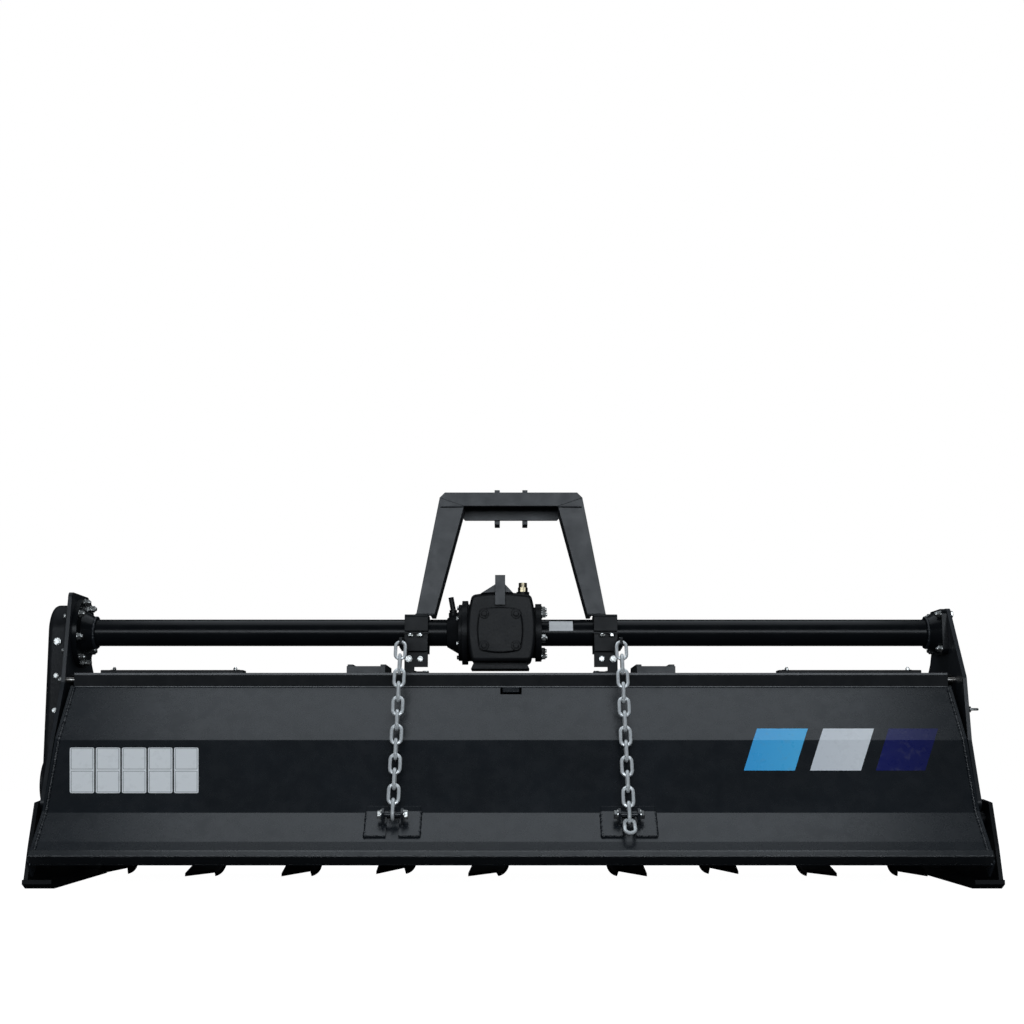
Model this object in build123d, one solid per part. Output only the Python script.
"""Rotary tiller for a tractor's three-point hitch, in millimetres.

X runs across the machine, to the right as seen from behind, +Y is the way it is towed and +Z is up.
Sizes are measured from the machine's middle plane, the cross tube's axis and the skids' soles.
`seated` moves every piece so that the origin is under the middle of the whole machine.
"""

from build123d import *
import math
import os

# Main shape
flap_half_width = 1120.0
flap_side_gap = 16.0
side_plate_thickness = 10.0
tube_z = 632.0
tube_radius = 35.0
tube_wall = 8.0
rotor_y = 15.0
rotor_z = 243.0
tine_reach = 240.0

# Flap, from its hinge down to its lower edge
flap_sheet_thickness = 4.0
hinge_behind_deck = 24.0
hinge_under_deck = 15.0
hinge_rod_radius = 7.0
hinge_gap = 0.06
knuckle_radius = 11.0
knuckle_length = 60.0
knuckle_count = 7
knuckle_side_gap = 6.0
hinge_ear_thickness = 8.0
hinge_ear_radius = 10.0
flap_lip_behind_hinge = 17.0
flap_lip_over_hinge = 17.0
flap_lip_under_hinge = 20.0
flap_bend = 6.0
upper_panel_length = 179.0
upper_panel_slope = 48.5
middle_panel_length = 190.0
middle_panel_slope = 65.0
lower_panel_length = 92.0
lower_panel_slope = 44.5
edge_panel_length = 65.0
edge_panel_slope = 49.3
flap_end_thickness = 6.0
flap_end_depth = 46.0
flap_end_proud = 7.0
bottom_rail_height = 18.0
bottom_rail_depth = 30.0
bottom_rail_wall = 5.0
tab_slot_width = 54.0
tab_slot_height = 24.0
tab_width = 42.0
tab_height = 18.0
tab_proud = 3.0

# Chains, their arms on the clamps and their brackets on the flap
chain_x = 280.0
chain_arm_y = -150.0
chain_arm_drop = 35.0
chain_arm_thickness = 7.0
chain_arm_pad = 8.0
chain_arm_height = 34.0
chain_wire = 8.0
chain_link_width = 33.0
chain_links = 12
chain_gap = 0.35
chain_hole_gap = 0.6
chain_bolt_radius = 6.0
bracket_width = 128.0
bracket_over_fold = 14.0
bracket_under_fold = 78.0
bracket_plate = 6.0
bracket_slot = 30.0
lug_gap = 40.0
lug_thickness = 6.0
lug_half_height = 17.0
bolt_above_panel = 25.0
bolt_below_fold = 30.0
bolt_head_radius = 10.0
bolt_head_height = 7.0

# Deck over the tines
deck_thickness = 4.0
deck_z = 519.0
deck_rear_y = -80.0
deck_bend_y = 115.0
deck_front_y = 255.0
deck_front_z = 405.0
deck_lip_y = 292.0
deck_lip_z = 262.0
deck_bend = 12.0
strip_inner_x = 698.0
strip_length = 378.0
strip_width = 46.0
strip_thickness = 5.0
strip_y = 20.0
stud_radius = 6.0
stud_height = 12.0
stud_inset = 24.0

# Side plates, skids and rotor bearings
left_plate_rise = 99.0
left_plate_rear_y = -92.0
left_plate_front_y = 70.0
left_shoulder_y = -126.0
left_shoulder_z = 497.0
right_plate_rise = 60.0
right_plate_half = 53.0
right_shoulder_y = -178.0
right_shoulder_z = 508.0
plate_waist_y = -199.0
plate_waist_z = 350.0
plate_heel_y = -262.0
plate_heel_z = 196.0
plate_foot_rear_y = -180.0
plate_foot_front_y = 150.0
plate_foot_z = 112.0
plate_toe_z = 142.0
plate_over_deck = 12.0
plate_corner = 14.0
shaft_hole_radius = 48.0
skid_width = 70.0
skid_sole = 10.0
skid_heel_y = -342.0
skid_flat_start_y = -315.0
skid_flat_end_y = 175.0
skid_toe_y = 318.0
skid_toe_z = 118.0
skid_plate = 10.0
skid_spacer_left = 0.1
skid_spacer_right = 12.0
skid_spacer_radius = 17.0
skid_bolt_rear_y = -225.0
skid_bolt_front_y = 215.0
skid_bolt_z = 160.0
skid_plate_top_z = 206.0
skid_arch_radius = 122.0
skid_bolt_radius = 8.0
stub_radius = 30.0
bearing_gap = 0.05
bearing_flange_radius = 82.0
bearing_flange_thickness = 12.0
bearing_boss_radius = 52.0
bearing_boss_length = 26.0
inner_bearing_radius = 70.0
inner_bearing_length = 24.0

# Drive case on the left side
case_width = 56.0
case_top_radius = 72.0
case_foot_radius = 84.0
case_foot_cap_radius = 66.0
case_foot_cap_height = 9.0
case_edge = 14.0
case_rim = 10.0
case_rim_thickness = 10.0

# Rotor
rotor_tube_radius = 44.0
rotor_end_gap = 52.0
flange_inset = 116.0
flanges_each_side = 4
flange_radius = 92.0
flange_thickness = 8.0
tine_thickness = 8.0
tine_bend_radius = 34.0
tine_side_reach = 106.0
tine_root = 52.0
tine_root_width = 58.0
tine_wing_width = 60.0
tine_lead = 80.0
tine_bow = 10.0
tine_wing_sweep = 24.0
tine_end_slant = 10.0
tine_stagger = 9.0
tines_per_side = 3

# Gearbox on the cross tube
gearbox_x = -28.0
gearbox_left = 85.0
gearbox_right = 92.0
gearbox_rise = 98.0
gearbox_drop = 80.0
gearbox_crown = 7.0
gearbox_bulge = 12.0
gearbox_corner = 14.0
gearbox_rear_y = -100.0
gearbox_front_y = 104.0
gearbox_edge = 9.0
left_flange_radius = 84.0
left_flange_thickness = 15.0
left_ring_radius = 74.0
left_ring_thickness = 9.0
right_flange_radius = 76.0
right_flange_thickness = 16.0
neck_radius = 56.0
neck_end_radius = 38.0
neck_length = 31.0
cover_pad_height = 3.0
cover_reach = 52.0
cover_bulge = 7.0
cover_bolt_reach = 41.0
cover_boss_radius = 13.0
cover_thickness = 8.0
cover_bolt_radius = 7.5
cover_bolt_height = 6.0
gearbox_base_width = 152.0
gearbox_base_depth = 120.0
gearbox_base_thickness = 18.0
gearbox_base_slant = 8.0
hanger_bar_width = 26.0
hanger_bar_thickness = 12.0
hanger_bar_rise = 43.0
hanger_bar_drop = 34.0
hanger_web_left = 56.0
hanger_web_right = 34.0
hanger_web_rise = 20.0
plug_x = 31.0
plug_y = -44.0
plug_radius = 13.0
plug_height = 24.0
plug_boss_height = 5.0
lever_boss_rise = 52.0
lever_boss_radius = 12.0
lever_foot = 8.0
lever_length = 34.0
lever_radius = 7.0
lever_lean = 11.0
tube_flange_thickness = 14.0
left_tube_flange_radius = 92.0
right_tube_flange_side = 118.0
tube_collar_length = 28.0
tube_collar_rise = 22.0
pto_radius = 17.4
pto_length = 96.0
pto_root_radius = 14.9
pto_splines = 6
pto_seal_radius = 48.0
pto_seal_length = 16.0
guard_radius = 92.0
guard_length = 104.0
guard_wall = 4.0

# Mast, clamps and hitch brackets
mast_top_z = 1004.0
mast_top_half = 176.0
mast_shoulder = 14.0
mast_shoulder_half = 190.0
mast_foot_half = 250.0
clamp_rise = 45.0
mast_leg_top_inner = 125.0
mast_leg_foot_inner = 202.0
mast_bar_height = 36.0
mast_rear_y = -18.0
mast_plate = 10.0
mast_depth_foot = 113.0
mast_depth_top = 110.0
mast_front_bar_height = 60.0
mast_weld_step = 2.0
top_lug_spacing = 76.0
top_lug_thickness = 14.0
top_lug_hole_radius = 13.0
top_lug_hole_drop = 24.0
top_lug_hole_ahead = 53.0
top_lug_width = 90.0
top_lug_drop = 70.0
top_lug_rise = 25.0
top_lug_corner = 24.0
clamp_x = 247.0
clamp_width = 61.0
clamp_depth = 104.0
clamp_gap = 0.1
clamp_split = 3.0
clamp_drop = 44.0
clamp_ledge = 2.5
clamp_ledge_thickness = 5.0
hanger_plate = 10.0
hanger_plate_drop = 48.0
hanger_leg_width = 26.0
hanger_rear_y = -46.0
hanger_front_y = 118.0
hitch_x = 386.0
hitch_ear_gap = 74.0
hitch_ear_thickness = 14.0
hitch_pin_y = 268.0
hitch_pin_z = 492.0
hitch_hole_radius = 14.5
hitch_ear_radius = 36.0
hitch_top_z = 553.0
hitch_rear_y = 122.0
hitch_plate = 10.0
hitch_wall_rise = 28.0

gap = 0.2

# Places worked out from the sizes above
side_plate_inner = flap_half_width + flap_side_gap
side_plate_outer = side_plate_inner + side_plate_thickness
case_outer = side_plate_outer + case_width


hinge_y = deck_rear_y - hinge_behind_deck
hinge_z = deck_z - hinge_under_deck
flap_lip_y = hinge_y - flap_lip_behind_hinge
flap_lip_top_z = hinge_z + flap_lip_over_hinge
flap_lip_foot_z = hinge_z - flap_lip_under_hinge
chain_arm_z = tube_z - chain_arm_drop
mast_foot_z = tube_z + clamp_rise
mast_bar_z = mast_top_z - mast_bar_height
top_lug_hole_z = mast_top_z - top_lug_hole_drop
top_lug_foot_z = mast_top_z - top_lug_drop
clamp_lower_z = tube_z - clamp_drop
rotor_tube_half = side_plate_inner - rotor_end_gap
flange_pitch = (rotor_tube_half - flange_inset) / flanges_each_side
gearbox_left_face = gearbox_x - gearbox_left
gearbox_right_face = gearbox_x + gearbox_right
gearbox_top = tube_z + gearbox_rise
neck_start = gearbox_left_face - left_flange_thickness - left_ring_thickness
cover_face_y = gearbox_rear_y - cover_pad_height
lever_x = neck_start - neck_length / 2


def down_slope(point, length, slope):
    """The point a panel's length further down and back, at a slope in degrees."""
    y, z = point
    return (
        y - length * math.cos(math.radians(slope)),
        z - length * math.sin(math.radians(slope)),
    )


lip_foot = (flap_lip_y, flap_lip_foot_z)
fold_one = down_slope(lip_foot, upper_panel_length, upper_panel_slope)
fold_two = down_slope(fold_one, middle_panel_length, middle_panel_slope)
fold_three = down_slope(fold_two, lower_panel_length, lower_panel_slope)
flap_edge = down_slope(fold_three, edge_panel_length, edge_panel_slope)
bolt_foot = down_slope(fold_two, bolt_below_fold, lower_panel_slope)
chain_bolt = (
    bolt_foot[0] - bolt_above_panel * math.sin(math.radians(lower_panel_slope)),
    bolt_foot[1] + bolt_above_panel * math.cos(math.radians(lower_panel_slope)),
)

flap_rear_y = flap_edge[0] - bottom_rail_depth * math.sin(math.radians(edge_panel_slope))
hitch_front_y = hitch_pin_y + hitch_ear_radius
deck_nose_y = deck_lip_y + deck_thickness
machine_front_y = max(skid_toe_y, hitch_front_y, deck_nose_y)
right_reach = side_plate_outer + bearing_flange_thickness + bearing_boss_length
left_reach = case_outer + case_foot_cap_height
origin_x = (right_reach - left_reach) / 2
origin_y = (machine_front_y + flap_rear_y) / 2


def seated(shape):
    """A piece moved from the machine's own lines to the origin under its middle."""
    return Pos(-origin_x, -origin_y, 0) * shape


def block(x0, x1, y0, y1, z0, z1):
    """A straight block between its two corners."""
    size = Box(x1 - x0, y1 - y0, z1 - z0)
    return Pos((x0 + x1) / 2, (y0 + y1) / 2, (z0 + z1) / 2) * size


def side_face(points):
    """A face in the side view, from (y, z) points."""
    return make_face(Polyline(*points, close=True))


def side_plane(x):
    """The side view's plane at x: local x is Y, local y is Z, and it faces +X."""
    return Plane((x, 0, 0), x_dir=(0, 1, 0), z_dir=(1, 0, 0))


def across(face, x0, x1):
    """A side-view face made solid from x0 to x1."""
    return extrude(side_plane(x0) * face, x1 - x0)


def rear_plane(y):
    """The rear view's plane at y: local x is X, local y is Z, and it faces the rear."""
    return Plane((0, y, 0), x_dir=(1, 0, 0), z_dir=(0, -1, 0))


def along(face, y0, y1):
    """A rear-view face made solid from y0, behind, to y1, in front."""
    return extrude(rear_plane(y1) * face, y1 - y0)


def rod_x(x0, x1, y, z, radius):
    """A round bar along X."""
    return across(Pos(y, z) * Circle(radius), x0, x1)


def rod_y(y0, y1, x, z, radius):
    """A round bar along Y."""
    return along(Pos(x, z) * Circle(radius), y0, y1)


def rod_z(z0, z1, x, y, radius):
    """A round bar along Z."""
    return extrude(Pos(x, y, z0) * Circle(radius), z1 - z0)


def hex_x(x0, x1, y, z, radius):
    """A hexagon head along X."""
    return across(Pos(y, z) * RegularPolygon(radius, 6), x0, x1)


def parallel(points, distance):
    """A line of points beside another, to its left by a distance."""
    count = len(points)
    line = []
    for i in range(count):
        before = points[max(i - 1, 0)]
        here = points[i]
        after = points[min(i + 1, count - 1)]
        first = Vector(here[0] - before[0], here[1] - before[1]) if i else None
        last = Vector(after[0] - here[0], after[1] - here[1]) if i < count - 1 else None
        first = (first or last).normalized()
        last = (last or first).normalized()
        turn = (first + last).normalized()
        reach = distance / turn.dot(last)
        line.append((here[0] - turn.Y * reach, here[1] + turn.X * reach))
    return line


def turns_left(points, i):
    """Whether a line of points turns left at one of them."""
    y0, z0 = points[i - 1]
    y1, z1 = points[i]
    y2, z2 = points[i + 1]
    return (y1 - y0) * (z2 - z1) > (z1 - z0) * (y2 - y1)


def bent_sheet(points, thickness, bend=0.0):
    """A bent sheet's side-view face: one side runs through the points, the other lies to their left."""
    other = parallel(points, thickness)
    face = side_face(list(points) + other[::-1])
    if bend:
        for i in range(1, len(points) - 1):
            pair = (other[i], points[i])
            inner, outer = pair if turns_left(points, i) == (thickness > 0) else pair[::-1]
            face = fillet(face.vertices().sort_by_distance(inner)[0], bend)
            face = fillet(face.vertices().sort_by_distance(outer)[0], bend + abs(thickness))
    return face


def cone_x(x0, x1, y, z, radius0, radius1):
    """A cone along X, from one radius at x0 to another at x1."""
    return Pos((x0 + x1) / 2, y, z) * Rot(0, 90, 0) * Cone(radius0, radius1, x1 - x0)


def mirrored(shape):
    """The same piece on the machine's other side."""
    return mirror(shape, Plane.YZ)


def joined(pieces):
    """Pieces welded into one."""
    result = pieces[0]
    for piece in pieces[1:]:
        result = result + piece
    return result


# Cross tube and gearbox


def cross_tube(side):
    """One half of the cross tube, from the gearbox to its bolted flange on the side plate."""
    gearbox_end = neck_length - neck_start if side < 0 else gearbox_right_face + right_flange_thickness
    start = gearbox_end + gap
    end = side_plate_inner
    flange_face = end - tube_flange_thickness
    bar = rod_x(start, end, 0, tube_z, tube_radius)
    if side < 0:
        flange = rod_x(flange_face, end, 0, tube_z, left_tube_flange_radius)
    else:
        square = RectangleRounded(right_tube_flange_side, right_tube_flange_side, plate_corner)
        flange = across(Pos(0, tube_z) * square, flange_face, end)
    collar_start = flange_face - tube_collar_length
    collar = cone_x(
        collar_start,
        flange_face,
        0,
        tube_z,
        tube_radius + tube_collar_rise / 4,
        tube_radius + tube_collar_rise,
    )
    bore = rod_x(start, end, 0, tube_z, tube_radius - tube_wall)
    tube = bar + flange + collar - bore
    return tube if side > 0 else mirrored(tube)


def gearbox_outline():
    """The case's outline from behind: a crowned top, barrel sides and a flat foot."""
    left_top = (gearbox_left_face + gearbox_bulge, gearbox_top - gearbox_crown)
    right_top = (gearbox_right_face - gearbox_bulge, gearbox_top - gearbox_crown)
    left_foot = (gearbox_left_face + gearbox_bulge, tube_z - gearbox_drop)
    right_foot = (gearbox_right_face - gearbox_bulge, tube_z - gearbox_drop)
    top = ThreePointArc(left_top, (gearbox_x, gearbox_top), right_top)
    right = ThreePointArc(right_top, (gearbox_right_face, tube_z), right_foot)
    left = ThreePointArc(left_foot, (gearbox_left_face, tube_z), left_top)
    outline = make_face([top, right, Line(right_foot, left_foot), left])
    return fillet(outline.vertices(), gearbox_corner)


def gearbox_housing():
    """The cast case with its cover pad, side flanges, the cone down to the left tube and its bosses."""
    case = along(gearbox_outline(), gearbox_rear_y, gearbox_front_y)
    case = fillet(case.faces().sort_by(Axis.Y)[0].edges(), gearbox_edge)
    case = fillet(case.faces().sort_by(Axis.Y)[-1].edges(), gearbox_edge)
    pad = along(cover_outline(), cover_face_y, gearbox_rear_y + gearbox_edge)
    flange_end = gearbox_left_face - left_flange_thickness
    cone_end = neck_start - neck_length
    right_end = gearbox_right_face + right_flange_thickness
    pieces = [
        case,
        pad,
        rod_z(tube_z, gearbox_top + plug_boss_height, plug_x, plug_y, plug_radius + 4),
        rod_x(flange_end, gearbox_x, 0, tube_z, left_flange_radius - gearbox_edge),
        rod_x(flange_end, gearbox_left_face, 0, tube_z, left_flange_radius),
        rod_x(neck_start, flange_end, 0, tube_z, left_ring_radius),
        cone_x(cone_end, neck_start, 0, tube_z, neck_end_radius, neck_radius),
        rod_x(gearbox_x, right_end, 0, tube_z, right_flange_radius - gearbox_edge),
        rod_x(gearbox_right_face, right_end, 0, tube_z, right_flange_radius),
        rod_z(tube_z, tube_z + lever_boss_rise, lever_x, 0, lever_boss_radius),
    ]
    return joined(pieces)


def cover_outline(grow=0.0):
    """The rear cover's outline: sides that bow out between four round bolt bosses."""
    reach = cover_reach + grow
    bow = reach + cover_bulge
    corners = [(-reach, -reach), (reach, -reach), (reach, reach), (-reach, reach)]
    bows = [(0, -bow), (bow, 0), (0, bow), (-bow, 0)]
    sides = [ThreePointArc(corners[i], bows[i], corners[(i + 1) % 4]) for i in range(4)]
    face = fillet(make_face(sides).vertices(), cover_boss_radius)
    return Pos(gearbox_x, tube_z) * face


def gearbox_rear_cover():
    """The cover on the rear of the case, with its four bosses and bolts."""
    rear = cover_face_y - cover_thickness
    cover = along(cover_outline(-1), rear, cover_face_y)
    cover = chamfer(cover.faces().sort_by(Axis.Y)[0].edges(), 2)
    for dx in (-cover_bolt_reach, cover_bolt_reach):
        for dz in (-cover_bolt_reach, cover_bolt_reach):
            place = Pos(gearbox_x + dx, tube_z + dz)
            boss = along(place * Circle(cover_boss_radius - 1), rear - 2, cover_face_y)
            head = along(place * RegularPolygon(cover_bolt_radius, 6), rear - 2 - cover_bolt_height, rear)
            cover = cover + boss + head
    return cover


def gearbox_base():
    """The foot plate cast under the case."""
    top = tube_z - gearbox_drop - gap / 2
    low = top - gearbox_base_thickness
    half = gearbox_base_width / 2
    outline = [
        (gearbox_x - half + gearbox_base_slant, top),
        (gearbox_x - half, low),
        (gearbox_x + half, low),
        (gearbox_x + half - gearbox_base_slant, top),
    ]
    return along(side_face(outline), -gearbox_base_depth / 2, gearbox_base_depth / 2)


def hanger_bar():
    """The upright bar on the rear of the case, over the cover, with its web on the case's crown."""
    half = hanger_bar_width / 2
    front = gearbox_rear_y - gap / 2
    bar = block(
        gearbox_x - half,
        gearbox_x + half,
        front - hanger_bar_thickness,
        front,
        gearbox_top - hanger_bar_drop,
        gearbox_top + hanger_bar_rise,
    )
    seat = gearbox_top + gap / 2
    web = [
        (gearbox_x - hanger_web_left, seat - gearbox_crown),
        (gearbox_x, seat),
        (gearbox_x + hanger_web_right, seat - gearbox_crown / 3),
        (gearbox_x + half, seat + hanger_web_rise),
        (gearbox_x - half, seat + hanger_web_rise),
    ]
    plate = along(side_face(web), front, front + hanger_bar_thickness + gearbox_edge)
    crown = along(gearbox_outline(), front, gearbox_front_y)
    return bar + (plate - Pos(0, 0, gap / 2) * crown)


def gear_lever():
    """The short change lever on the left cone's boss, leaning away from the case."""
    seat = tube_z + lever_boss_rise + gap / 2
    foot = rod_z(seat, seat + lever_foot, lever_x, 0, lever_radius + 3)
    stem = Pos(lever_x, 0, seat + lever_foot) * Rot(0, -lever_lean, 0) * rod_z(-2, lever_length, 0, 0, lever_radius)
    return foot + stem


def filler_plug():
    """The breather plug on top of the case."""
    seat = gearbox_top + plug_boss_height + gap / 2
    hexagon = extrude(Pos(plug_x, plug_y, seat) * RegularPolygon(plug_radius, 6), plug_height / 2)
    cap = rod_z(seat + plug_height / 2, seat + plug_height, plug_x, plug_y, plug_radius - 2)
    return hexagon + cap


def pto_shaft():
    """The splined input stub, which turns in its seal on the front of the case."""
    start = gearbox_front_y + gap
    end = gearbox_front_y + pto_seal_length + pto_length
    spline = Circle(pto_root_radius)
    tooth = math.pi * pto_radius / (2 * pto_splines)
    for i in range(pto_splines):
        rib = Pos((pto_root_radius + pto_radius) / 2 - 1, 0) * Rectangle(pto_radius - pto_root_radius + 2, tooth)
        spline = spline + Rot(0, 0, 360 / pto_splines * i) * rib
    spline = spline & Circle(pto_radius)
    journal = rod_y(start, gearbox_front_y + pto_seal_length, gearbox_x, tube_z, pto_radius + 5)
    shaft = along(Pos(gearbox_x, tube_z) * spline, gearbox_front_y + pto_seal_length, end)
    groove = rod_y(end - 26, end - 20, gearbox_x, tube_z, pto_radius + 1)
    core = rod_y(end - 26, end - 20, gearbox_x, tube_z, pto_root_radius - 0.5)
    return journal + (shaft - (groove - core))


def pto_seal():
    """The seal housing round the input shaft."""
    ring = rod_y(gearbox_front_y, gearbox_front_y + pto_seal_length, gearbox_x, tube_z, pto_seal_radius)
    bore = rod_y(
        gearbox_front_y,
        gearbox_front_y + pto_seal_length,
        gearbox_x,
        tube_z,
        pto_radius + 5 + bearing_gap,
    )
    return ring - bore


def pto_guard():
    """The open plastic shield that stands round the input shaft."""
    start = gearbox_front_y
    end = start + guard_length
    low = tube_z - 0.6 * guard_radius
    outer = rod_y(start, end, gearbox_x, tube_z, guard_radius)
    inner = rod_y(start + guard_wall, end, gearbox_x, tube_z, guard_radius - guard_wall)
    shaft_way = rod_y(start, end, gearbox_x, tube_z, pto_seal_radius + gap)
    flat = block(
        gearbox_x - guard_radius,
        gearbox_x + guard_radius,
        start,
        end,
        tube_z - guard_radius,
        low,
    )
    return outer - inner - shaft_way - flat


# Mast, clamps and hitch


def mast():
    """The welded A-frame: two legs with deep webs, a top bar and the front cross plate."""
    rear = mast_rear_y
    leg = [
        (-mast_shoulder_half, mast_top_z - mast_shoulder),
        (-mast_foot_half, mast_foot_z),
        (-mast_leg_foot_inner, mast_foot_z),
        (-mast_leg_top_inner, mast_bar_z),
        (-mast_leg_top_inner, mast_top_z - mast_shoulder),
    ]
    bar = [
        (-mast_shoulder_half, mast_top_z - mast_shoulder),
        (-mast_leg_top_inner, mast_bar_z),
        (mast_leg_top_inner, mast_bar_z),
        (mast_shoulder_half, mast_top_z - mast_shoulder),
        (mast_top_half, mast_top_z),
        (-mast_top_half, mast_top_z),
    ]
    flange = along(side_face(leg), rear, rear + mast_plate)
    pieces = [flange, mirrored(flange), along(side_face(bar), rear - mast_weld_step, rear + mast_plate)]
    run = mast_leg_foot_inner - mast_leg_top_inner
    rise = mast_bar_z - mast_foot_z
    width = mast_plate * math.hypot(run, rise) / rise
    web_front = [
        (-mast_leg_foot_inner, mast_foot_z),
        (-mast_leg_top_inner, mast_bar_z),
        (-mast_leg_top_inner - width, mast_bar_z),
        (-mast_leg_foot_inner - width, mast_foot_z),
    ]
    web = along(side_face(web_front), rear, rear + mast_depth_foot)
    profile = [
        (rear, mast_foot_z),
        (rear + mast_depth_foot, mast_foot_z),
        (rear + mast_depth_top, mast_bar_z),
        (rear, mast_bar_z),
    ]
    web = web & across(side_face(profile), -mast_foot_half, 0)
    pieces += [web, mirrored(web)]
    roof = block(
        -mast_top_half,
        mast_top_half,
        rear,
        rear + mast_depth_top,
        mast_top_z - mast_plate,
        mast_top_z,
    )
    pieces.append(roof)
    front = [
        (-mast_leg_top_inner, mast_top_z - mast_front_bar_height),
        (mast_leg_top_inner, mast_top_z - mast_front_bar_height),
        (mast_top_half, mast_top_z),
        (-mast_top_half, mast_top_z),
    ]
    front_y = rear + mast_depth_top - mast_plate
    pieces.append(along(side_face(front), front_y, front_y + mast_plate))
    return joined(pieces)


def top_link_lugs():
    """The two drilled lugs that take the top link's pin, ahead of the mast's front plate."""
    rear = mast_rear_y + mast_depth_top + gap
    front = rear + top_lug_width
    top = mast_top_z + top_lug_rise
    outline = [
        (rear, top_lug_foot_z),
        (front - top_lug_corner, top_lug_foot_z),
        (front, top_lug_foot_z + top_lug_corner),
        (front, top - top_lug_corner),
        (front - top_lug_corner, top),
        (rear, top),
    ]
    lugs = []
    for side in (-1, 1):
        middle = side * top_lug_spacing / 2
        low = middle - top_lug_thickness / 2
        high = middle + top_lug_thickness / 2
        hole = rod_x(low, high, rear + top_lug_hole_ahead, top_lug_hole_z, top_lug_hole_radius)
        lugs.append(across(side_face(outline), low, high) - hole)
    return lugs


def tube_clamp(side):
    """The two halves of a clamp on the cross tube, with thin ledges where bolts draw them together."""
    x0 = clamp_x - clamp_width / 2
    x1 = clamp_x + clamp_width / 2
    half = clamp_depth / 2
    bore = rod_x(x0 - clamp_ledge, x1 + clamp_ledge, 0, tube_z, tube_radius + clamp_gap)
    split_top = tube_z + clamp_split / 2
    split_low = tube_z - clamp_split / 2
    upper = block(x0, x1, -half, half, split_top, mast_foot_z - gap / 2)
    lower = block(x0, x1, -half, half, clamp_lower_z, split_low)
    upper = fillet(upper.edges().filter_by(Axis.X).group_by(Axis.Z)[-1], 9) - bore
    lower = fillet(lower.edges().filter_by(Axis.X).group_by(Axis.Z)[0], 9)
    ledge_half = half + clamp_ledge_thickness
    ledge = block(
        x0 - clamp_ledge,
        x1 + clamp_ledge,
        -ledge_half,
        ledge_half,
        split_low - clamp_ledge_thickness,
        split_low,
    )
    halves = [upper, lower + ledge - bore]
    if side < 0:
        halves = [mirrored(piece) for piece in halves]
    return halves


def deck_hanger(side):
    """The bent plate that hangs the deck from a clamp: a rear face, a side web and a foot on the deck."""
    x0 = clamp_x - clamp_width / 2
    x1 = clamp_x + clamp_width / 2
    top = clamp_lower_z - gap / 2
    foot = deck_z + gap / 2
    rear = hanger_rear_y
    outline = [
        (rear, top),
        (rear, foot),
        (hanger_front_y, foot),
        (-hanger_rear_y, top),
    ]
    pieces = [
        across(side_face(outline), x1 - hanger_plate, x1),
        block(x0, x1, rear, rear + hanger_plate, top - hanger_plate_drop, top),
        block(x1 - hanger_leg_width, x1, rear, rear + hanger_plate, foot, top),
        block(x0, x1, rear, -hanger_rear_y, top - hanger_plate, top),
        block(x0, x1, rear + hanger_plate, hanger_front_y, foot, foot + hanger_plate),
    ]
    plate = joined(pieces)
    return plate if side > 0 else mirrored(plate)


def hitch_front_face(z):
    """How far forward the deck's outer face is at a height on its upper slope."""
    slope = (deck_front_y - deck_bend_y) / (deck_z - deck_front_z)
    return deck_bend_y + (deck_z - z) * slope


def lower_hitch(side):
    """A lower link's two ears on their seat, which is cut to the deck's slope."""
    seat_low = hitch_pin_z - hitch_ear_radius - 30
    slope_low = hitch_front_face(seat_low) + gap
    slope_high = hitch_front_face(deck_z) + gap
    deck_seat = deck_z + gap / 2
    outline = [
        (slope_low, seat_low),
        (hitch_pin_y + 8, seat_low),
        (hitch_pin_y + hitch_ear_radius, hitch_pin_z - 22),
        (hitch_pin_y + hitch_ear_radius, hitch_pin_z + 20),
        (hitch_pin_y + 4, hitch_top_z),
        (hitch_rear_y - 50, hitch_top_z),
        (hitch_rear_y - 80, deck_seat),
        (slope_high, deck_seat),
    ]
    inner = hitch_x - hitch_ear_gap / 2
    outer = hitch_x + hitch_ear_gap / 2
    pieces = []
    for low in (inner - hitch_ear_thickness, outer):
        pieces.append(across(side_face(outline), low, low + hitch_ear_thickness))
    seat = [
        (hitch_rear_y - 80, deck_seat),
        (slope_high, deck_seat),
        (slope_high + 6, deck_seat + hitch_plate),
        (hitch_rear_y - 76, deck_seat + hitch_plate),
    ]
    pieces.append(across(side_face(seat), clamp_x + clamp_width / 2 + gap, outer))
    wall_rear = hitch_rear_y - 76
    wall_low = inner - hitch_ear_thickness
    wall_high = outer + hitch_ear_thickness
    wall_top = deck_seat + hitch_wall_rise
    pieces.append(block(wall_low, wall_high, wall_rear, wall_rear + hitch_plate, deck_seat, wall_top))
    ears = joined(pieces)
    ears = ears - rod_x(inner - 40, outer + 40, hitch_pin_y, hitch_pin_z, hitch_hole_radius)
    return ears if side > 0 else mirrored(ears)


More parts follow.
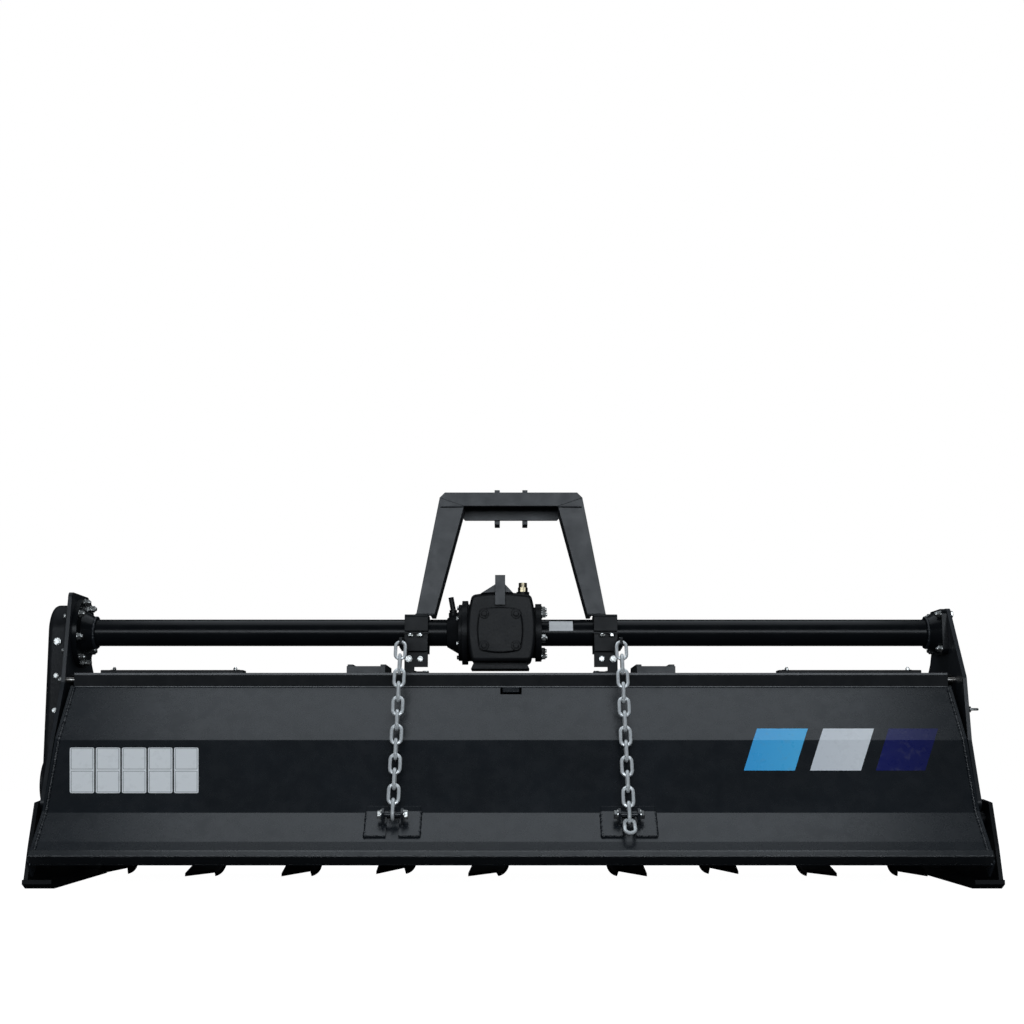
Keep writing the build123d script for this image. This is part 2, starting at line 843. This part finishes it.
def chain_arm(side):
    """The flat arm welded to a clamp's rear that carries a chain in its drilled end."""
    clamp_rear = -clamp_depth / 2 - clamp_ledge_thickness
    low = chain_x - chain_arm_thickness / 2
    high = low + chain_arm_thickness
    half = chain_arm_height / 2
    outline = [
        (clamp_rear - gap, chain_arm_z - half),
        (clamp_rear - gap, chain_arm_z + half),
        (chain_arm_y, chain_arm_z + half * 0.75),
        (chain_arm_y - 14, chain_arm_z + 6),
        (chain_arm_y - 14, chain_arm_z - 6),
        (chain_arm_y, chain_arm_z - half * 0.75),
    ]
    hole = rod_x(low, high, chain_arm_y, chain_arm_z, chain_wire / 2 + chain_hole_gap)
    arm = across(side_face(outline), low, high) - hole
    pad = block(
        clamp_x - clamp_width / 2,
        high,
        clamp_rear - gap - chain_arm_pad,
        clamp_rear - gap,
        chain_arm_z - half,
        chain_arm_z + half,
    )
    arm = arm + pad
    return arm if side > 0 else mirrored(arm)


# Deck, side plates and skids

deck_line = [
    (deck_rear_y, deck_z),
    (deck_bend_y, deck_z),
    (deck_front_y, deck_front_z),
    (deck_lip_y, deck_lip_z),
]


def deck():
    """The bent sheet over the tines, from the flap's hinge to its front edge."""
    half = side_plate_inner
    wall = bent_sheet(deck_line[::-1], deck_thickness, deck_bend)
    return across(wall, -half, half)


def deck_strips():
    """The bolted strips along the deck's top on either side, each with its two studs."""
    low = deck_z + gap / 2
    top = low + strip_thickness
    strips = []
    for side in (-1, 1):
        inner = side * strip_inner_x
        outer = side * (strip_inner_x + strip_length)
        x0, x1 = sorted((inner, outer))
        strip = block(x0, x1, strip_y - strip_width / 2, strip_y + strip_width / 2, low, top)
        for x in (x0 + stud_inset, x1 - stud_inset):
            strip = strip + rod_z(top, top + stud_height, x, strip_y, stud_radius)
        strips.append(strip)
    return strips


def knuckle_middles():
    """Where the flap's knuckles lie along the hinge rod."""
    reach = flap_half_width - knuckle_length
    step = 2 * reach / (knuckle_count - 1)
    return [-reach + step * i for i in range(knuckle_count)]


def hinge_rod():
    """The long rod that the flap's knuckles turn on."""
    return rod_x(-side_plate_inner, side_plate_inner, hinge_y, hinge_z, hinge_rod_radius)


def hinge_ears():
    """The ears on the deck's rear edge that hold the rod, one beside each knuckle."""
    ears = []
    top = deck_z - deck_thickness - gap / 2
    outline = [
        (hinge_y, hinge_z - hinge_ear_radius),
        (deck_rear_y + 34, top - 16),
        (deck_rear_y + 34, top),
        (hinge_y, top),
    ]
    for middle in knuckle_middles():
        toward = -1 if middle > 0 else 1
        low = middle + toward * (knuckle_length / 2 + knuckle_side_gap + hinge_ear_thickness / 2)
        low = low - hinge_ear_thickness / 2
        high = low + hinge_ear_thickness
        ear = across(side_face(outline), low, high) + rod_x(low, high, hinge_y, hinge_z, hinge_ear_radius)
        ears.append(ear - rod_x(low, high, hinge_y, hinge_z, hinge_rod_radius + gap / 2))
    return ears


def left_side_plate():
    """The drive side's plate, whose top stands above the tube."""
    top = tube_z + left_plate_rise
    rear_edge = [(left_shoulder_y, left_shoulder_z)]
    return side_plate([(left_plate_rear_y, top), (left_plate_front_y, top)], rear_edge)


def right_side_plate():
    """The bearing side's plate, whose top ends just over the tube."""
    top = tube_z + right_plate_rise
    rear_edge = [(right_shoulder_y, right_shoulder_z)]
    return mirrored(side_plate([(-right_plate_half, top), (right_plate_half, top)], rear_edge))


def side_plate(head, rear_edge):
    """A side plate on the left, from its head and shoulder, rounded and cut for the rotor."""
    outline = [
        *head,
        (deck_bend_y + plate_over_deck, deck_z + 3 * plate_over_deck),
        (deck_front_y + plate_over_deck, deck_front_z + plate_over_deck),
        (deck_lip_y + deck_thickness + 4, deck_lip_z - plate_over_deck),
        (deck_lip_y - 30, plate_toe_z),
        (plate_foot_front_y, plate_foot_z),
        (plate_foot_rear_y, plate_foot_z),
        (plate_heel_y, plate_heel_z),
        (plate_waist_y, plate_waist_z),
        *rear_edge,
    ]
    face = fillet(side_face(outline).vertices(), plate_corner)
    plate = across(face, -side_plate_outer, -side_plate_inner)
    return plate - rod_x(-side_plate_outer, -side_plate_inner, rotor_y, rotor_z, shaft_hole_radius)


def skid(side):
    """A runner: the bent sole and its upright plate on spacers, arched round the rotor's bearing."""
    spacer = skid_spacer_right if side > 0 else skid_spacer_left
    face = side_plate_outer + spacer
    outer = face + skid_plate
    low = outer - skid_width
    line = [
        (skid_heel_y, skid_sole + 12),
        (skid_heel_y, 12),
        (skid_flat_start_y, 0),
        (skid_flat_end_y, 0),
        (skid_toe_y - 40, skid_toe_z * 0.42),
        (skid_toe_y, skid_toe_z),
    ]
    sole = across(bent_sheet(line, skid_sole), low, outer)
    upright = [
        (skid_heel_y + skid_sole, skid_sole + 6),
        (skid_flat_start_y + 4, skid_sole - 2),
        (skid_flat_end_y + 4, skid_sole - 2),
        (skid_toe_y - 48, skid_toe_z * 0.42),
        (skid_toe_y - 14, skid_toe_z),
        (skid_toe_y - 14, skid_toe_z + 30),
        (skid_toe_y - 70, skid_plate_top_z),
        (-200, skid_plate_top_z),
        (-272, skid_plate_top_z - 6),
        (-310, 96),
    ]
    plate = across(side_face(upright), face, outer)
    arch = rod_x(side_plate_outer, outer, rotor_y, rotor_z, skid_arch_radius)
    runner = sole + (plate - arch)
    for y in (skid_bolt_rear_y, skid_bolt_front_y):
        runner = runner + hex_x(outer, outer + 9, y, skid_bolt_z, skid_bolt_radius + 4)
        if spacer > gap:
            runner = runner + rod_x(side_plate_outer + gap / 2, face, y, skid_bolt_z, skid_spacer_radius)
    return runner if side > 0 else mirrored(runner)


def bearing_housing():
    """The right rotor bearing in its flanged housing, outside the side plate."""
    start = side_plate_outer
    end = right_reach
    flange = rod_x(start, start + bearing_flange_thickness, rotor_y, rotor_z, bearing_flange_radius)
    boss = rod_x(start, end, rotor_y, rotor_z, bearing_boss_radius)
    boss = chamfer(boss.faces().sort_by(Axis.X)[-1].edges(), 4)
    bore = rod_x(start, end - 10, rotor_y, rotor_z, stub_radius + bearing_gap)
    return flange + boss - bore


def inner_bearing():
    """The left rotor bearing, on the inner face of the drive side's plate."""
    low = -side_plate_inner
    ring = rod_x(low, low + inner_bearing_length, rotor_y, rotor_z, inner_bearing_radius)
    return ring - rod_x(low, low + inner_bearing_length, rotor_y, rotor_z, stub_radius + bearing_gap)


def case_outline(grow):
    """The drive case's outline in the side view: the two rounds and their common flanks."""
    top = Pos(0, tube_z) * Circle(case_top_radius + grow)
    foot = Pos(rotor_y, rotor_z) * Circle(case_foot_radius + grow)
    return make_hull([*top.edges(), *foot.edges()])


def drive_case():
    """The gear case down the left side, with its rim against the side plate and its bearing cap."""
    rim = across(case_outline(case_rim), -side_plate_outer - case_rim_thickness, -side_plate_outer)
    case = across(case_outline(0), -case_outer, -side_plate_outer)
    case = fillet(case.faces().sort_by(Axis.X)[0].edges(), case_edge)
    cap = rod_x(-left_reach, -case_outer, rotor_y, rotor_z, case_foot_cap_radius)
    return joined([case, rim, cap])


# Flap

flap_line = [
    (flap_lip_y, flap_lip_top_z),
    lip_foot,
    fold_one,
    fold_two,
    fold_three,
    flap_edge,
]


def flap_sheet():
    """The bent tailboard sheet with its upright lip, and a slot with its tongue in the middle of its top."""
    half = flap_half_width - flap_end_thickness
    sheet = across(bent_sheet(flap_line, flap_sheet_thickness, flap_bend), -half, half)
    deep = 2 * flap_sheet_thickness
    slot = side_face([(0, -deep), (tab_slot_height, -deep), (tab_slot_height, deep), (0, deep)])
    slot_half = tab_slot_width / 2
    sheet = sheet - on_panel(lip_foot, upper_panel_slope, slot, -slot_half, slot_half)
    tongue = side_face(
        [
            (-1, -flap_sheet_thickness),
            (0, 0),
            (tab_height, tab_proud),
            (tab_height, tab_proud - flap_sheet_thickness),
        ]
    )
    tab_half = tab_width / 2
    return sheet + on_panel(lip_foot, upper_panel_slope, tongue, -tab_half, tab_half)


def flap_knuckles():
    """The tubes on the flap's lip that turn on the hinge rod."""
    knuckles = []
    lip = flap_lip_y + flap_sheet_thickness + gap / 2
    for middle in knuckle_middles():
        low = middle - knuckle_length / 2
        high = middle + knuckle_length / 2
        tube = rod_x(low, high, hinge_y, hinge_z, knuckle_radius)
        strap = block(low, high, lip, hinge_y, hinge_z - knuckle_radius, hinge_z)
        bore = rod_x(low, high, hinge_y, hinge_z, hinge_rod_radius + hinge_gap)
        behind = block(
            low,
            high,
            lip - 2 * knuckle_radius,
            lip,
            hinge_z - 2 * knuckle_radius,
            hinge_z + 2 * knuckle_radius,
        )
        knuckles.append((tube + strap) - bore - behind)
    return knuckles


def flap_end(side):
    """The plate welded across an end of the flap, proud of the sheet behind."""
    inner = flap_half_width - flap_end_thickness
    outer_line = bent_sheet(flap_line[1:], -flap_end_proud)
    inner_line = bent_sheet(flap_line[1:], flap_end_depth)
    plate = across(outer_line + inner_line, inner + gap / 2, flap_half_width)
    return plate if side > 0 else mirrored(plate)


def on_panel(fold, slope, face, x0, x1):
    """A side-view face drawn on a panel: local x runs down it from its upper fold, local y is out of it."""
    lean = math.radians(slope)
    place = Plane(
        (x0, fold[0], fold[1]),
        x_dir=(0, -math.cos(lean), -math.sin(lean)),
        z_dir=(-1, 0, 0),
    )
    return extrude(place * face, -(x1 - x0))


def flap_bottom_rail():
    """The angle bar that stiffens the flap's lower edge."""
    half = flap_half_width - flap_end_thickness
    end = edge_panel_length
    start = end - bottom_rail_height
    inner = gap / 2
    bar = side_face(
        [
            (start, bottom_rail_depth - bottom_rail_wall),
            (end - bottom_rail_wall, bottom_rail_depth - bottom_rail_wall),
            (end - bottom_rail_wall, inner),
            (end, inner),
            (end, bottom_rail_depth),
            (start, bottom_rail_depth),
        ]
    )
    return on_panel(fold_three, edge_panel_slope, bar, -half, half)


def flap_bracket(side):
    """The chain's bracket on the flap: a slotted plate over the fold, two lugs and the bolt across them."""
    up = down_slope(fold_two, -bracket_over_fold, middle_panel_slope)
    down = down_slope(fold_two, bracket_under_fold, lower_panel_slope)
    line = [up, fold_two, down]
    plate = side_face(parallel(line, -gap / 2) + parallel(line, -bracket_plate)[::-1])
    half = bracket_width / 2
    slot = bracket_slot / 2
    bridge_end = down_slope(fold_two, bolt_below_fold - lug_half_height, lower_panel_slope)
    bridge_line = [up, fold_two, bridge_end]
    bridge = side_face(parallel(bridge_line, -gap / 2) + parallel(bridge_line, -bracket_plate)[::-1])
    pieces = [
        across(plate, chain_x - half, chain_x - slot),
        across(plate, chain_x + slot, chain_x + half),
        across(bridge, chain_x - slot, chain_x + slot),
    ]
    reach = bolt_above_panel + lug_half_height * 0.8
    seat = bracket_plate - 1
    lug = side_face(
        [
            (bolt_below_fold - lug_half_height, seat),
            (bolt_below_fold + lug_half_height, seat),
            (bolt_below_fold + lug_half_height, bolt_above_panel),
            (bolt_below_fold + 8, reach),
            (bolt_below_fold - 8, reach),
            (bolt_below_fold - lug_half_height, bolt_above_panel),
        ]
    )
    inner = lug_gap / 2
    outer = inner + lug_thickness
    pieces.append(on_panel(fold_two, lower_panel_slope, lug, chain_x - outer, chain_x - inner))
    pieces.append(on_panel(fold_two, lower_panel_slope, lug, chain_x + inner, chain_x + outer))
    y, z = chain_bolt
    pieces.append(rod_x(chain_x - outer - 8, chain_x + outer + 8, y, z, chain_bolt_radius))
    pieces.append(hex_x(chain_x - outer - bolt_head_height, chain_x - outer, y, z, bolt_head_radius))
    pieces.append(hex_x(chain_x + outer, chain_x + outer + bolt_head_height, y, z, bolt_head_radius))
    bracket = joined(pieces)
    return bracket if side > 0 else mirrored(bracket)


# Chains

chain_run = math.hypot(chain_bolt[0] - chain_arm_y, chain_bolt[1] - chain_arm_z)
chain_lean = math.atan2(chain_arm_y - chain_bolt[0], chain_arm_z - chain_bolt[1])


def link_inner_length(tail_links):
    """The inner length of a link, so that the last one's end lies under the bolt and any tail."""
    under_bolt = chain_bolt_radius + tail_links * (chain_wire + chain_gap)
    return (chain_run + under_bolt + chain_gap * chain_links - chain_wire / 2) / chain_links


def link_path(inner, open_side):
    """A link's centre line, long way along local y, with a half octagon at either end."""
    bow = (chain_link_width - chain_wire) / 2
    straight = (inner + chain_wire) / 2 - bow
    flat = bow * math.tan(math.pi / 8)
    points = [
        (bow, straight + flat),
        (flat, straight + bow),
        (-flat, straight + bow),
        (-bow, straight + flat),
        (-bow, -straight - flat),
        (-flat, -straight - bow),
        (flat, -straight - bow),
        (bow, -straight - flat),
    ]
    if open_side:
        return Polyline(*points[:-1])
    return Polyline(*points, close=True)


def chain_link(inner, open_side):
    """A link in the local XY plane: an eight-sided wire swept round its centre line."""
    path = link_path(inner, open_side)
    start = path @ 0
    heading = path % 0
    section = Plane(start, z_dir=heading) * RegularPolygon(chain_wire / 2, 8, major_radius=False)
    return sweep(section, path=path, transition=Transition.RIGHT)


def chain(side, tail_links):
    """A chain from its arm to its bolt: links turned a quarter from one to the next."""
    links = []
    inner = link_inner_length(tail_links)
    lean = math.degrees(chain_lean)
    tail_turn = 90 - lower_panel_slope - lean
    for i in range(chain_links + tail_links):
        link = chain_link(inner, open_side=i == chain_links - 1)
        quarter = 0 if i % 2 == 0 else 90
        hung = Pos(0, 0, -(inner + chain_wire) / 2) * Rot(0, 0, quarter) * Rot(90, 0, 0) * link
        if i >= chain_links:
            hung = Rot(-tail_turn, 0, 0) * hung
        links.append(Pos(0, 0, -(inner - chain_gap) * i) * hung)
    place = Pos(side * chain_x, chain_arm_y, chain_arm_z) * Rot(-lean, 0, 0)
    return [place * link for link in links]


# Rotor


def rotor_tube():
    """The rotor's tube with a stepped stub shaft at either end."""
    tube = rod_x(-rotor_tube_half, rotor_tube_half, rotor_y, rotor_z, rotor_tube_radius)
    left = rod_x(-side_plate_outer + 2, -rotor_tube_half, rotor_y, rotor_z, stub_radius)
    right = rod_x(rotor_tube_half, right_reach - 11, rotor_y, rotor_z, stub_radius)
    return joined([tube, left, right])


def tine_blank():
    """One blade below the rotor's axis: its shank sweeps to the rear and its wing is bent towards +X."""
    far = tine_lead + tine_wing_width / 2
    near = far - tine_wing_width
    top = -tine_root
    low = -math.sqrt(tine_reach**2 - far**2)
    face = flange_thickness / 2
    wing_end = face + tine_side_reach
    strip = side_face(
        [
            (face, top),
            (face, low),
            (wing_end, low),
            (wing_end, low + tine_thickness),
            (face + tine_thickness, low + tine_thickness),
            (face + tine_thickness, top),
        ]
    )
    strip = fillet(strip.vertices().sort_by_distance((face, low))[0], tine_bend_radius)
    inside = strip.vertices().sort_by_distance((face + tine_thickness, low + tine_thickness))[0]
    strip = fillet(inside, tine_bend_radius - tine_thickness)
    bent = along(strip, -tine_reach, tine_reach)
    root = tine_root_width / 2
    middle = (top + low) / 2
    leading = ThreePointArc((-root, top), (-(root + far) / 2 - tine_bow, middle), (-far, low - 1))
    edge = Line(leading @ 1, (-near, low - 1))
    trailing = ThreePointArc(edge @ 1, ((root - near) / 2 - tine_bow / 2, middle), (root, top))
    shut = Line(trailing @ 1, leading @ 0)
    blade = bent & across(make_face([leading, edge, trailing, shut]), 0, wing_end)
    plan = make_face(
        Polyline(
            (0, -tine_reach),
            (face + tine_bend_radius, -far + tine_wing_sweep),
            (wing_end, -far),
            (wing_end - tine_end_slant, -near + tine_wing_sweep / 4),
            (face + tine_bend_radius, -near + tine_wing_sweep),
            (0, tine_reach / 2),
            close=True,
        )
    )
    blade = blade & extrude(Pos(0, 0, low - 2) * plan, top - low + 4)
    return blade & rod_x(0, wing_end, 0, 0, tine_reach)


def tine_flange(index, blade, other_blade):
    """A flange with its blades: every second one wings left, and the lowest wings outwards."""
    middle = index * flange_pitch
    half = flange_thickness / 2
    disc = rod_x(-half, half, 0, 0, flange_radius) - rod_x(-half, half, 0, 0, rotor_tube_radius + gap / 2)
    phase = tine_stagger * (index % 3 - 1)
    outward_right = index > 0
    lead = math.degrees(math.asin((tine_lead + tine_wing_width / 2) / tine_reach))
    pieces = [disc]
    for i in range(2 * tines_per_side):
        wings_right = (i % 2 == 0) == outward_right
        tine = blade if wings_right else other_blade
        pieces.append(Rot(phase + lead + 180 / tines_per_side * i, 0, 0) * tine)
    return Pos(middle, rotor_y, rotor_z) * joined(pieces)


def all_parts():
    """Every named piece: a shape, or a list of like solids that share a name."""
    parts = {
        "cross_tube_left": cross_tube(-1),
        "cross_tube_right": cross_tube(1),
        "gearbox_housing": gearbox_housing(),
        "gearbox_rear_cover": gearbox_rear_cover(),
        "gearbox_base": gearbox_base(),
        "gearbox_hanger_bar": hanger_bar(),
        "gear_lever": gear_lever(),
        "filler_plug": filler_plug(),
        "pto_seal": pto_seal(),
        "pto_guard": pto_guard(),
        "pto_shaft": pto_shaft(),
        "mast": mast(),
        "top_link_lugs": top_link_lugs(),
        "tube_clamp_left": tube_clamp(-1),
        "tube_clamp_right": tube_clamp(1),
        "deck_hanger_left": deck_hanger(-1),
        "deck_hanger_right": deck_hanger(1),
        "lower_hitch_left": lower_hitch(-1),
        "lower_hitch_right": lower_hitch(1),
        "chain_arm_left": chain_arm(-1),
        "chain_arm_right": chain_arm(1),
        "deck": deck(),
        "deck_strips": deck_strips(),
        "hinge_rod": hinge_rod(),
        "hinge_ears": hinge_ears(),
        "side_plate_left": left_side_plate(),
        "side_plate_right": right_side_plate(),
        "skid_left": skid(-1),
        "skid_right": skid(1),
        "bearing_housing_right": bearing_housing(),
        "bearing_housing_left": inner_bearing(),
        "drive_case": drive_case(),
        "flap_sheet": flap_sheet(),
        "flap_knuckles": flap_knuckles(),
        "flap_end_left": flap_end(-1),
        "flap_end_right": flap_end(1),
        "flap_bottom_rail": flap_bottom_rail(),
        "flap_bracket_left": flap_bracket(-1),
        "flap_bracket_right": flap_bracket(1),
        "chain_left": chain(-1, tail_links=0),
        "chain_right": chain(1, tail_links=1),
        "rotor_tube": rotor_tube(),
    }
    blade = tine_blank()
    other_blade = mirrored(blade)
    for index in range(-flanges_each_side, flanges_each_side + 1):
        name = f"tine_flange_{index + flanges_each_side + 1}"
        parts[name] = tine_flange(index, blade, other_blade)
    return parts


os.makedirs("parts", exist_ok=True)
for part_name, shape in all_parts().items():
    solids = shape if isinstance(shape, list) else [shape]
    placed = [seated(solid) for solid in solids]
    whole = placed[0] if len(placed) == 1 else Compound(children=placed)
    export_step(whole, f"parts/{part_name}.step")
